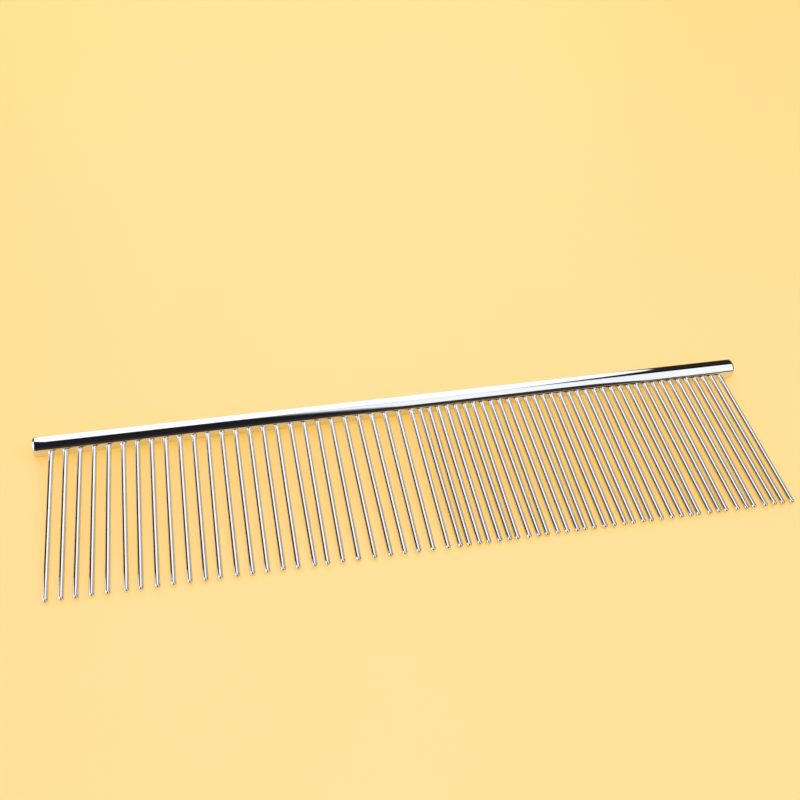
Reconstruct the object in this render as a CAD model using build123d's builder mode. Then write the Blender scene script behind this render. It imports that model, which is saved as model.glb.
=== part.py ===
"""Steel grooming comb: a solid round spine with straight round pins pressed into blind holes along one side.

The pins are spaced wide along one half and close along the other. The comb lies as it does on a table, resting
on the underside of the spine and on the tips of the pins. The origin is on the table under the middle of the
comb, +X runs along the spine from the coarse end to the fine end, and the pins point towards -Y.
All lengths are in millimetres and all angles in degrees.
"""

import os
from math import asin, cos, radians, sin, tan

from build123d import *

# Spine: a solid bar with softened ends.
SPINE_LENGTH = 190.0
SPINE_RADIUS = 2.65
SPINE_EDGE_RADIUS = 0.8

# Pins: plain rods of one diameter, with a round tip and a bevelled root.
PIN_RADIUS = 0.7
PIN_REACH = 50.3  # from the spine's axis out to the tip
PIN_SEAT = 1.2  # from the spine's axis back to the root
PIN_BEVEL = 0.15
PIN_LEAN = 0.35  # the most that a pin stands out of square, along the row

# Spacing along the spine. The two rows meet a fine pitch apart.
COARSE_COUNT = 27
COARSE_PITCH = 3.6
FINE_COUNT = 36
FINE_PITCH = 2.42
FINE_PINS_PER_NODE = 2

# Holes for the pins: drilled from one side, line to line with the pins, with the drill's point at the bottom.
DRILL_POINT_ANGLE = 118.0
DRILL_OVERRUN = 1.0  # the drill starts this far outside the spine

# Worked out from the values above.
PIN_COUNT = COARSE_COUNT + FINE_COUNT
ROW_LENGTH = (COARSE_COUNT - 1) * COARSE_PITCH + FINE_COUNT * FINE_PITCH
TIP_CENTRE = PIN_REACH - PIN_RADIUS
DRILL_POINT_LENGTH = PIN_RADIUS / tan(radians(DRILL_POINT_ANGLE / 2))
DROOP = asin((SPINE_RADIUS - PIN_RADIUS) / TIP_CENTRE)  # radians, from the spine down to the table
COMB_WIDTH = SPINE_RADIUS + TIP_CENTRE * cos(DROOP) + PIN_RADIUS
SPINE_CENTRE = Vector(0, COMB_WIDTH / 2 - SPINE_RADIUS, SPINE_RADIUS)
PIN_DIRECTION = Vector(0, -cos(DROOP), -sin(DROOP))
PIN_ROW_NORMAL = Vector(0, -sin(DROOP), cos(DROOP))


def pin_position(index):
    """How far along the spine a pin stands, counted from the coarse end."""
    coarse_steps = min(index, COARSE_COUNT - 1)
    fine_steps = index - coarse_steps
    return -ROW_LENGTH / 2 + coarse_steps * COARSE_PITCH + fine_steps * FINE_PITCH


def pin_plane(index):
    """The plane of the row at one pin: its origin is on the spine's axis, and its x runs out along the pin."""
    lean = radians(PIN_LEAN * cos(index**2))
    direction = PIN_DIRECTION * cos(lean) + Vector(1, 0, 0) * sin(lean)
    origin = SPINE_CENTRE + Vector(pin_position(index), 0, 0)
    return Plane(origin=origin, x_dir=direction, z_dir=PIN_ROW_NORMAL)


def add_pin(index):
    """Turn one pin about its own axis, in the open part."""
    plane = pin_plane(index)
    with BuildSketch(plane) as profile:
        with BuildLine():
            root = Line((-PIN_SEAT, 0), (-PIN_SEAT, PIN_RADIUS - PIN_BEVEL))
            bevel = Line(root @ 1, (-PIN_SEAT + PIN_BEVEL, PIN_RADIUS))
            side = Line(bevel @ 1, (TIP_CENTRE, PIN_RADIUS))
            tip = CenterArc((TIP_CENTRE, 0), PIN_RADIUS, start_angle=90, arc_size=-90)
            Line(tip @ 1, root @ 0)
        make_face()
    revolve(profile.sketch, axis=Axis(plane.origin, plane.x_dir))


def add_drill(index):
    """Turn the space that the drill clears for one pin, in the open part."""
    plane = pin_plane(index)
    mouth = SPINE_RADIUS + DRILL_OVERRUN
    with BuildSketch(plane) as profile:
        with BuildLine():
            Polyline(
                (-PIN_SEAT - DRILL_POINT_LENGTH, 0),
                (-PIN_SEAT, PIN_RADIUS),
                (mouth, PIN_RADIUS),
                (mouth, 0),
                close=True,
            )
        make_face()
    revolve(profile.sketch, axis=Axis(plane.origin, plane.x_dir))


def export_pins(name, indices):
    """Make the pins of one node and write them to its file."""
    with BuildPart() as pins:
        for index in indices:
            add_pin(index)
    pins.part.label = name
    export_step(pins.part, f"parts/{name}.step")


os.makedirs("parts", exist_ok=True)

# Spine
with BuildPart() as drills:
    for index in range(PIN_COUNT):
        add_drill(index)

with BuildPart() as spine:
    with BuildSketch(Plane(origin=SPINE_CENTRE - Vector(SPINE_LENGTH / 2, 0, 0), z_dir=(1, 0, 0))):
        Circle(SPINE_RADIUS)
    extrude(amount=SPINE_LENGTH)
    fillet(spine.edges().filter_by(GeomType.CIRCLE), radius=SPINE_EDGE_RADIUS)
    add(drills.part, mode=Mode.SUBTRACT)
spine.part.label = "spine"
export_step(spine.part, "parts/spine.step")

# Coarse pins, one to a node
for index in range(COARSE_COUNT):
    export_pins(f"coarse_pin_{index + 1:02d}", [index])

# Fine pins, as neighbours that share a node
for first in range(0, FINE_COUNT, FINE_PINS_PER_NODE):
    last = first + FINE_PINS_PER_NODE - 1
    indices = range(COARSE_COUNT + first, COARSE_COUNT + last + 1)
    export_pins(f"fine_pins_{first + 1:02d}_{last + 1:02d}", indices)
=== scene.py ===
"""Looks of the steel grooming comb: bright chrome plate, on a pale yellow table between large softboxes.

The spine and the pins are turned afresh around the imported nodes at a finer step, with the plating's small
fillet where each pin enters the spine. All lengths are in metres and all angles in degrees, unless a name
or a comment says otherwise.
"""

from math import ceil, cos, pi, radians, sin, sqrt

import bpy
import numpy as np
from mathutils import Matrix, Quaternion, Vector


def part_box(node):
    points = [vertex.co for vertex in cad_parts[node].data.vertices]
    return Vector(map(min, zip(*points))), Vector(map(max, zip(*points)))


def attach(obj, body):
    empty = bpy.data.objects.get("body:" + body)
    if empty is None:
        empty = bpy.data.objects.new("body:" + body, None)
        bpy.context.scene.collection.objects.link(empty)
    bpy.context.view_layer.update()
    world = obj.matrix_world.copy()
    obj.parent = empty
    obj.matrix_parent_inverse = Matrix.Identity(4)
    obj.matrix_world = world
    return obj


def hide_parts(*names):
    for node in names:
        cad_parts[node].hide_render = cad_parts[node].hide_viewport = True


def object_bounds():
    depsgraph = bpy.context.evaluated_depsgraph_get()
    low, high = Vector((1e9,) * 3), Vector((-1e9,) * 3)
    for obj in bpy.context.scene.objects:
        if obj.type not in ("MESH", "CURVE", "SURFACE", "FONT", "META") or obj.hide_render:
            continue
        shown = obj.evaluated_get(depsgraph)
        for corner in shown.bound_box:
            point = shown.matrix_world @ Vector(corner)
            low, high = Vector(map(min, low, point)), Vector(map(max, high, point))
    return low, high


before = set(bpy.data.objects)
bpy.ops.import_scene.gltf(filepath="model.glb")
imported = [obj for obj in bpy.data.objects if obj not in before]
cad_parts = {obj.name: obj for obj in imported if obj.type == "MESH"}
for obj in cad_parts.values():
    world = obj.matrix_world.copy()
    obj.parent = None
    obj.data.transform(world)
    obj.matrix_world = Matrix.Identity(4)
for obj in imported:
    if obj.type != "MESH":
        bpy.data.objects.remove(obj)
cad_low, cad_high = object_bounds()

MM = 0.001
MICRON = 0.000001

# Spine
SPINE_EDGE_RADIUS = 0.8 * MM
SPINE_SEGMENTS = 128
SPINE_RING_STEP = 5 * MM
EDGE_RINGS = 10
END_FACE_RIM = 0.04 * MM  # keeps the smooth shading of the rounded edge off the flat end
END_FACE_RINGS = (0.66, 0.33)  # as shares of the flat's radius

# Pins
PIN_SEGMENTS = 40
PIN_BEVEL = 0.15 * MM
ROOT_DEPTH = 0.05 * MM  # the points this close to a pin's root are the rim of its end
PIN_RING_STEP = 6 * MM
TIP_RINGS = 10
PLATING_FILLET = 0.16 * MM
PLATING_RINGS = 6

# Colours
CHROME = (0.8, 0.8, 0.81)
DULL_CHROME = (0.73, 0.73, 0.745)
WIRE_CHROME = (0.82, 0.8, 0.79)
DULL_WIRE_CHROME = (0.72, 0.7, 0.69)
CARD = (0.26, 0.235, 0.185)
DEEP_CARD = (0.26, 0.235, 0.145)
# Painted light: the card's glow colours, which keep its shade under and between the pins bright yellow
PAINTED_GLOW = (0.75, 0.42, 0.06)
DEEP_PAINTED_GLOW = (0.75, 0.42, 0.045)

# Textures, in grains to the metre along X, Y and Z
BAR_LINES = (25, 7000, 7000)
BAR_WAVES = (70, 160, 160)
BAR_HAZE = (45, 300, 300)
WIRE_LINES = (8000, 30, 8000)
WIRE_BATCHES = (210, 3, 0)
WIRE_HAZE = (400, 90, 400)
STONE_GRAIN = (12000, 12000, 12000)
CARD_CLOUDS = (9, 9, 9)
CARD_GRAIN = (2500, 2500, 2500)
LATHE_FEED = 0.12 * MM

# Ranges taken from the noise, which stays around 0.5, and the shares that they are spread over
ALL_NOISE = (0.3, 0.7)
NOISE_PEAKS = (0.35, 0.7)
HAZE_PEAKS = (0.5, 0.75)
BATCH_NOISE = (0.35, 0.65)
BATCH_SHARE = (0.0, 0.6)
PATCH_NOISE = (0.4, 0.7)
PATCH_SHARE = (0.0, 0.4)

# Roughness, from the smoothest place to the roughest
BAR_POLISH = (0.025, 0.06)
BAR_HAZINESS = (0.0, 0.03)
UNMOPPED = (0.06, 0.16)
LATHE_TURNED = 0.12
DRAWN_WIRE = (0.03, 0.08)
DULL_ROOT = 0.05
GROUND_TIP = (0.02, 0.12)
PAPER = (0.5, 0.6)

# How far the textures stand up, and each one's share of it
BAR_RELIEF = 12 * MICRON
BAR_LINE_SHARE = 0.03
LATHE_RING_SHARE = 0.1
WIRE_RELIEF = 2 * MICRON
WIRE_LINE_SHARE = 0.2
WIRE_HAZE_SHARE = 0.6
STONE_GRAIN_SHARE = 0.2
CARD_RELIEF = 6 * MICRON

# Where the finishes change, from the first trace to the full effect
END_FACE_NORMAL = (0.95, 1.0)
PIN_SIDE_NORMAL = (-0.93, -0.99)
DULL_ROOT_REACH = (9 * MM, 3 * MM)  # from the spine's axis
GROUND_TIP_REACH = (0.9 * MM, 0.3 * MM)  # from the tips

# Table
TABLE_SIZE = 8
TABLE_BACK = (-0.05, 0.3)  # along Y, where the card grows deeper in colour
TABLE_BACK_SHARE = (0.0, 0.8)
TABLE_CLOUD_SHARE = (0.0, 0.2)

# Camera
AIM = Vector((0.0016, 0.0291, 0))
CAMERA_DISTANCE = 0.3107
CAMERA_HEADING = 11.21  # to the right of +Y
CAMERA_ELEVATION = 41.10
CAMERA_ROLL = 0.97
LENS_MM = 51.14
SENSOR_MM = 36

# Light
WHITE = (1, 1, 1)
COOL = (0.93, 0.98, 1)
AMBIENT = 1.0
DARK_WALL = (0.055, 0.042, 0.036)
DARK_CEILING = (0.014, 0.015, 0.02)
DARK_BACK = (0.028, 0.019, 0.01)
CEILING_EDGE = (0.3, 0.5)  # the height, as a sine, over which the wall turns into the ceiling
BACK_EDGE = (0.1, 0.5)  # how far a direction points along +Y, over which the front turns into the back


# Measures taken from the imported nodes


def node_points(node):
    """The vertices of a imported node."""
    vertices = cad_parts[node].data.vertices
    points = np.empty(len(vertices) * 3)
    vertices.foreach_get("co", points)
    return points.reshape(-1, 3)


def pin_axis(points):
    """The root, the direction, the length and the radius of the round pin that these points lie on."""
    offsets = points - points.mean(0)
    direction = np.linalg.svd(offsets, full_matrices=False)[2][0]
    direction *= -np.sign(direction[1])
    along = offsets @ direction
    root_ring = points[along < along.min() + ROOT_DEPTH]
    root = (root_ring.min(0) + root_ring.max(0)) / 2
    tip = points[along.argmax()]
    length = np.linalg.norm(tip - root)
    direction = (tip - root) / length
    across = (points - root) - np.outer((points - root) @ direction, direction)
    return Vector(root), Vector(direction), float(length), float(np.linalg.norm(across, axis=1).max())


def pins_of(node):
    """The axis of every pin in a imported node, from the coarse end to the fine end."""
    points = node_points(node)
    if node.startswith("coarse_pin"):
        return [pin_axis(points)]
    middle = (points[:, 0].min() + points[:, 0].max()) / 2
    return [pin_axis(points[points[:, 0] < middle]), pin_axis(points[points[:, 0] > middle])]


spine_low, spine_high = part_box("spine")
SPINE_RADIUS = (spine_high.z - spine_low.z) / 2
SPINE_CENTRE = (spine_low + spine_high) / 2
PIN_NODES = sorted(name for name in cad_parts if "_pin" in name)


# Meshes


def turned_mesh(name, *bodies):
    """A smooth mesh of closed bodies, each given as its rings of points and a point at each end."""
    vertices, faces = [], []
    for rings, start, finish in bodies:
        first = len(vertices)
        vertices.append(start)
        for ring in rings:
            vertices.extend(ring)
        vertices.append(finish)
        last = len(vertices) - 1
        count = len(rings[0])
        top = last - count
        for step in range(count):
            after = (step + 1) % count
            faces.append((first, first + 1 + after, first + 1 + step))
            for low in range(first + 1, top, count):
                high = low + count
                faces.append((low + step, low + after, high + after, high + step))
            faces.append((top + step, top + after, last))
    mesh = bpy.data.meshes.new(name)
    mesh.from_pydata([tuple(v) for v in vertices], [], faces)
    mesh.shade_smooth()
    return mesh


def arc(centre_along, centre_out, radius, first, last, steps):
    """Points (along, out) on an arc, from one angle to another."""
    angles = [radians(first + (last - first) * step / steps) for step in range(steps + 1)]
    return [(centre_along + radius * cos(a), centre_out + radius * sin(a)) for a in angles]


def spread(first, last, step):
    """Evenly spaced values strictly between two values, about a step apart."""
    count = ceil(abs(last - first) / step)
    return [first + (last - first) * index / count for index in range(1, count)]


def turns(segments):
    """Evenly spaced angles around a circle, in radians."""
    return [2 * pi * step / segments for step in range(segments)]


def circle(centre, side, up, radius, segments):
    """A ring of points about a centre."""
    return [centre + side * radius * cos(turn) + up * radius * sin(turn) for turn in turns(segments)]


def make_spine():
    """The round bar, with flat ends and rounded edges."""
    half = (spine_high.x - spine_low.x) / 2
    edge = half - SPINE_EDGE_RADIUS
    flat = SPINE_RADIUS - SPINE_EDGE_RADIUS
    right = [(edge, SPINE_RADIUS)]
    right += arc(edge, flat, SPINE_EDGE_RADIUS, 90, 0, EDGE_RINGS)[1:]
    right.append((half, flat - END_FACE_RIM))
    right += [(half, flat * share) for share in END_FACE_RINGS]
    left = [(-along, out) for along, out in reversed(right)]
    body = [(along, SPINE_RADIUS) for along in spread(-edge, edge, SPINE_RING_STEP)]
    profile = left + body + right
    axis, side, up = Vector((1, 0, 0)), Vector((0, 0, 1)), Vector((0, 1, 0))
    rings = [circle(SPINE_CENTRE + axis * along, side, up, out, SPINE_SEGMENTS) for along, out in profile]
    return turned_mesh("spine_bar", (rings, SPINE_CENTRE - axis * half, SPINE_CENTRE + axis * half))


def pin_rings(root, direction, length, radius):
    """The rings of one pin, from its root inside the spine to its tip, and its two end points."""
    side = Vector((1, 0, 0)) - direction * direction.x
    side.normalize()
    up = side.cross(direction)
    seat = (SPINE_CENTRE - root).dot(direction)
    rings = [
        circle(root, side, up, radius - PIN_BEVEL, PIN_SEGMENTS),
        circle(root + direction * PIN_BEVEL, side, up, radius, PIN_SEGMENTS),
        circle(root + direction * seat, side, up, radius, PIN_SEGMENTS),
    ]
    for level in range(-1, PLATING_RINGS + 1):
        share = level / PLATING_RINGS
        height = PLATING_FILLET * share
        out = radius + PLATING_FILLET * (1 - sqrt(1 - (1 - max(share, 0)) ** 2))
        ring = []
        for turn in turns(PIN_SEGMENTS):
            surface = sqrt(SPINE_RADIUS**2 - (out * sin(turn)) ** 2)
            centre = root + direction * (seat + surface + height)
            ring.append(centre + side * out * cos(turn) + up * out * sin(turn))
        rings.append(ring)
    shaft_start = seat + SPINE_RADIUS + 2 * PLATING_FILLET
    shaft_end = length - radius
    for along in [shaft_start] + spread(shaft_start, shaft_end, PIN_RING_STEP):
        rings.append(circle(root + direction * along, side, up, radius, PIN_SEGMENTS))
    for along, out in arc(shaft_end, 0, radius, 90, 0, TIP_RINGS)[:-1]:
        rings.append(circle(root + direction * along, side, up, out, PIN_SEGMENTS))
    return rings, root, root + direction * length


def add_piece(name, mesh, node, material):
    """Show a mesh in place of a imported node."""
    piece = bpy.data.objects.new(name, mesh)
    bpy.context.scene.collection.objects.link(piece)
    mesh.materials.append(material)
    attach(piece, "root")
    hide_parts(node)


# Shader nodes


def add_node(tree, kind, inputs=None, **settings):
    """Add a node. Each input is a value, or another node's output to link from."""
    made = tree.nodes.new(kind)
    for name, value in settings.items():
        setattr(made, name, value)
    for key, value in (inputs or {}).items():
        if isinstance(value, bpy.types.NodeSocket):
            tree.links.new(value, made.inputs[key])
        else:
            made.inputs[key].default_value = value
    return made


def maths(tree, operation, first, second=0.0):
    """One sum on one or two values."""
    return add_node(tree, "ShaderNodeMath", {0: first, 1: second}, operation=operation).outputs[0]


def total(tree, first, *others):
    """The sum of several values."""
    for other in others:
        first = maths(tree, "ADD", first, other)
    return first


def product(tree, first, *others):
    """Several values multiplied together."""
    for other in others:
        first = maths(tree, "MULTIPLY", first, other)
    return first


def span(tree, value, source, result=(0.0, 1.0)):
    """A value that goes over the range result while another goes over the range source."""
    inputs = {"Value": value, "From Min": source[0], "From Max": source[1]}
    inputs |= {"To Min": result[0], "To Max": result[1]}
    return add_node(tree, "ShaderNodeMapRange", inputs).outputs["Result"]


def parts_of(tree, vector):
    """The X, Y and Z outputs of a vector."""
    return add_node(tree, "ShaderNodeSeparateXYZ", {0: vector}).outputs


def noise(tree, place, grains, detail):
    """Noise around 0.5, with so many grains to the metre along each axis."""
    stretched = add_node(tree, "ShaderNodeMapping", {"Vector": place, "Scale": grains}).outputs[0]
    inputs = {"Vector": stretched, "Scale": 1.0, "Detail": detail}
    return add_node(tree, "ShaderNodeTexNoise", inputs).outputs["Fac"]


def blend(tree, share, first, second):
    """A colour between two, by a share from 0 to 1."""
    made = add_node(tree, "ShaderNodeValToRGB", {"Fac": share})
    made.color_ramp.elements[0].color = (*first, 1)
    made.color_ramp.elements[1].color = (*second, 1)
    return made.outputs["Color"]


def relief(tree, height, depth):
    """A bumped normal, where a height of 1 stands so many metres up."""
    return add_node(tree, "ShaderNodeBump", {"Height": height, "Distance": depth}).outputs["Normal"]


def new_material(name):
    """A material, with its tree, its main shader and the places on the object in metres."""
    material = bpy.data.materials.new(name)
    material.use_nodes = True
    tree = material.node_tree
    place = add_node(tree, "ShaderNodeTexCoord").outputs["Object"]
    return material, tree, tree.nodes["Principled BSDF"], place


# Materials


def lathe_rings(tree, place):
    """Waves from -1 to 1 around the spine's axis, one for each turn of the lathe."""
    at = parts_of(tree, place)
    section = add_node(tree, "ShaderNodeCombineXYZ", {"Y": at["Y"], "Z": at["Z"]}).outputs[0]
    ends = {0: section, 1: (0, SPINE_CENTRE.y, SPINE_CENTRE.z)}
    out = add_node(tree, "ShaderNodeVectorMath", ends, operation="DISTANCE").outputs["Value"]
    return maths(tree, "SINE", product(tree, out, 2 * pi / LATHE_FEED))


def spine_plating():
    """Bright chrome on the bar, with polishing lines along it and the faint waviness of drawn bar. It is
    duller between the pins, where a mop can't reach, and the ends show the rings of the lathe tool."""
    material, tree, shader, place = new_material("spine_plating")
    facing = parts_of(tree, add_node(tree, "ShaderNodeTexCoord").outputs["Normal"])
    end_face = span(tree, maths(tree, "ABSOLUTE", facing["X"]), END_FACE_NORMAL)
    pin_side = span(tree, facing["Y"], PIN_SIDE_NORMAL)

    lines = noise(tree, place, BAR_LINES, 3.0)
    waves = noise(tree, place, BAR_WAVES, 1.0)
    haze = noise(tree, place, BAR_HAZE, 4.0)
    rings = lathe_rings(tree, place)

    colour = blend(tree, span(tree, haze, NOISE_PEAKS), CHROME, DULL_CHROME)
    tree.links.new(colour, shader.inputs["Base Color"])
    shader.inputs["Metallic"].default_value = 1.0
    polished = span(tree, lines, NOISE_PEAKS, BAR_POLISH)
    hazy = span(tree, haze, HAZE_PEAKS, BAR_HAZINESS)
    unmopped = product(tree, pin_side, span(tree, lines, ALL_NOISE, UNMOPPED))
    turned = product(tree, end_face, LATHE_TURNED)
    tree.links.new(total(tree, polished, hazy, unmopped, turned), shader.inputs["Roughness"])
    height = total(
        tree,
        product(tree, lines, BAR_LINE_SHARE),
        waves,
        product(tree, rings, end_face, LATHE_RING_SHARE),
    )
    tree.links.new(relief(tree, height, BAR_RELIEF), shader.inputs["Normal"])
    return material


def pin_plating():
    """Bright chrome on drawn wire: fine lines along each pin, no two pins quite the same tint, duller near
    the spine, and a rounded tip that keeps the grain of the stone it was ground on."""
    material, tree, shader, place = new_material("pin_plating")
    along = parts_of(tree, place)["Y"]
    near_root = span(tree, along, [SPINE_CENTRE.y - reach for reach in DULL_ROOT_REACH])
    near_tip = span(tree, along, [cad_low.y + reach for reach in GROUND_TIP_REACH])

    lines = noise(tree, place, WIRE_LINES, 3.0)
    batch = noise(tree, place, WIRE_BATCHES, 0.0)
    haze = noise(tree, place, WIRE_HAZE, 3.0)
    grain = noise(tree, place, STONE_GRAIN, 2.0)

    batch_tint = span(tree, batch, BATCH_NOISE, BATCH_SHARE)
    patch_tint = span(tree, haze, PATCH_NOISE, PATCH_SHARE)
    colour = blend(tree, total(tree, batch_tint, patch_tint), WIRE_CHROME, DULL_WIRE_CHROME)
    tree.links.new(colour, shader.inputs["Base Color"])
    shader.inputs["Metallic"].default_value = 1.0
    drawn = span(tree, lines, NOISE_PEAKS, DRAWN_WIRE)
    dull_root = product(tree, near_root, DULL_ROOT)
    ground_tip = product(tree, near_tip, span(tree, grain, ALL_NOISE, GROUND_TIP))
    tree.links.new(total(tree, drawn, dull_root, ground_tip), shader.inputs["Roughness"])
    height = total(
        tree,
        product(tree, lines, WIRE_LINE_SHARE),
        product(tree, haze, WIRE_HAZE_SHARE),
        product(tree, grain, near_tip, STONE_GRAIN_SHARE),
    )
    tree.links.new(relief(tree, height, WIRE_RELIEF), shader.inputs["Normal"])
    return material


def table_card():
    """Smooth pale yellow card, a slightly deeper yellow towards the back, with a fine paper grain. Part of
    its colour is painted glow: emission that keeps the card bright yellow in the comb's shade, between the
    pins."""
    material, tree, shader, place = new_material("table_card")
    back = span(tree, parts_of(tree, place)["Y"], TABLE_BACK, TABLE_BACK_SHARE)
    clouds = span(tree, noise(tree, place, CARD_CLOUDS, 3.0), ALL_NOISE, TABLE_CLOUD_SHARE)
    grain = noise(tree, place, CARD_GRAIN, 4.0)
    deeper = total(tree, back, clouds)
    tree.links.new(blend(tree, deeper, CARD, DEEP_CARD), shader.inputs["Base Color"])
    # Painted light: the card glows with its own yellow light, also where the comb shades it
    tree.links.new(blend(tree, deeper, PAINTED_GLOW, DEEP_PAINTED_GLOW), shader.inputs["Emission Color"])
    shader.inputs["Emission Strength"].default_value = 1.0
    tree.links.new(span(tree, grain, ALL_NOISE, PAPER), shader.inputs["Roughness"])
    tree.links.new(relief(tree, grain, CARD_RELIEF), shader.inputs["Normal"])
    return material


# Table, camera and lights


def add_table():
    """The sheet of card that the comb lies on."""
    half = TABLE_SIZE / 2
    corners = [(-half, -half, 0), (half, -half, 0), (half, half, 0), (-half, half, 0)]
    mesh = bpy.data.meshes.new("table")
    mesh.from_pydata(corners, [], [(0, 1, 2, 3)])
    mesh.materials.append(table_card())
    table = bpy.data.objects.new("table", mesh)
    bpy.context.scene.collection.objects.link(table)


def add_camera():
    """The camera, looking down at the comb from in front of its coarse half."""
    heading, elevation = radians(CAMERA_HEADING), radians(CAMERA_ELEVATION)
    forward = Vector((sin(heading) * cos(elevation), cos(heading) * cos(elevation), -sin(elevation)))
    data = bpy.data.cameras.new("camera")
    data.lens = LENS_MM
    data.sensor_width = SENSOR_MM
    camera = bpy.data.objects.new("camera", data)
    camera.location = AIM - forward * CAMERA_DISTANCE
    roll = Quaternion((0, 0, 1), radians(CAMERA_ROLL))
    camera.rotation_euler = (forward.to_track_quat("-Z", "Y") @ roll).to_euler()
    bpy.context.scene.collection.objects.link(camera)
    bpy.context.scene.camera = camera


def add_panel(name, middle, facing, width, height, radiance, colour=WHITE, turn=0):
    """A rectangular softbox, out of the camera's sight."""
    data = bpy.data.lights.new(name, "AREA")
    data.shape = "RECTANGLE"
    data.size = width
    data.size_y = height
    data.energy = radiance * pi * width * height
    data.color = colour
    light = bpy.data.objects.new(name, data)
    light.location = middle
    aimed = Vector(facing).to_track_quat("-Z", "Y") @ Quaternion((0, 0, 1), radians(turn))
    light.rotation_euler = aimed.to_euler()
    light.visible_camera = False
    bpy.context.scene.collection.objects.link(light)
    return light


def add_softbox(name, low, high, left, right, radiance, colour=WHITE, turn=0):
    """A softbox facing the comb from the front or the back. low and high are the middles of its lower and
    upper edges, as (y, z), and left and right are its sides along x."""
    low, high = Vector((0, *low)), Vector((0, *high))
    middle = (low + high) / 2 + Vector(((left + right) / 2, 0, 0))
    facing = (high - low).normalized().cross(Vector((1, 0, 0)))
    if facing.dot(SPINE_CENTRE - middle) < 0:
        facing = -facing
    return add_panel(name, middle, facing, right - left, (high - low).length, radiance, colour, turn)


def add_lights():
    """The softboxes that the plating shows, and a key light for the table."""
    low, high = (1.0, 0.02), (0.03, 1.24)
    back = add_softbox("back_softbox", low, high, left=-0.3, right=0.36, radiance=1.35, turn=-2)
    low, high = (-0.76, 0.62), (0.05, 1.005)
    add_softbox("front_rim", low, high, left=0.03, right=0.055, radiance=0.1, colour=COOL, turn=9)
    add_softbox("front_edge", low, high, left=0.055, right=0.08, radiance=0.45, colour=COOL, turn=9)
    add_softbox("front_softbox", low, high, left=0.08, right=1.1, radiance=1.2, colour=COOL, turn=8)
    low, high = (-0.945, 0.25), (-0.745, 0.655)
    add_softbox("front_low_softbox", low, high, left=0.41, right=1.1, radiance=1.15, colour=COOL, turn=9)
    left = add_panel("left_softbox", (-0.55, -0.15, 0.5), (1, 0, 0), width=1.0, height=1.0, radiance=1.5)
    right = add_panel("right_wall", (1.0, 1.05, 0.46), (-1, 0, 0), width=1.1, height=0.88, radiance=0.55)
    for light in (back, left, right):
        light.visible_diffuse = False
    key = add_panel("key_softbox", (0.9, -0.2, 0.8), (-0.9, 0.2, -0.8), width=0.4, height=0.4, radiance=3.5)
    key.visible_glossy = False


def add_room():
    """Even white light on the table, in a room whose dark walls show only in the plating."""
    world = bpy.data.worlds.new("room")
    bpy.context.scene.world = world
    world.use_nodes = True
    tree = world.node_tree
    even = tree.nodes["Background"]
    even.inputs["Color"].default_value = (*WHITE, 1)
    even.inputs["Strength"].default_value = AMBIENT
    direction = add_node(tree, "ShaderNodeTexCoord").outputs["Generated"]
    towards = parts_of(tree, direction)
    front = blend(tree, span(tree, towards["Z"], CEILING_EDGE), DARK_WALL, DARK_CEILING)
    behind = span(tree, towards["Y"], BACK_EDGE)
    shades = {"Fac": behind, "Color1": front, "Color2": (*DARK_BACK, 1)}
    dark = add_node(tree, "ShaderNodeMixRGB", shades).outputs["Color"]
    walls = add_node(tree, "ShaderNodeBackground", {"Color": dark})
    path = add_node(tree, "ShaderNodeLightPath").outputs
    before_table = maths(tree, "LESS_THAN", path["Diffuse Depth"], 0.5)
    in_plating = product(tree, path["Is Glossy Ray"], before_table)
    room = add_node(tree, "ShaderNodeMixShader", {0: in_plating, 1: even.outputs[0], 2: walls.outputs[0]})
    tree.links.new(room.outputs[0], tree.nodes["World Output"].inputs["Surface"])


# The comb

spine_finish = spine_plating()
pin_finish = pin_plating()
add_piece("plated_spine", make_spine(), "spine", spine_finish)
for node in PIN_NODES:
    pins = [pin_rings(*axis) for axis in pins_of(node)]
    add_piece(f"plated_{node}", turned_mesh(node, *pins), node, pin_finish)

# Its surroundings

add_table()
add_camera()
add_lights()
add_room()
bpy.context.scene.view_settings.view_transform = "Standard"
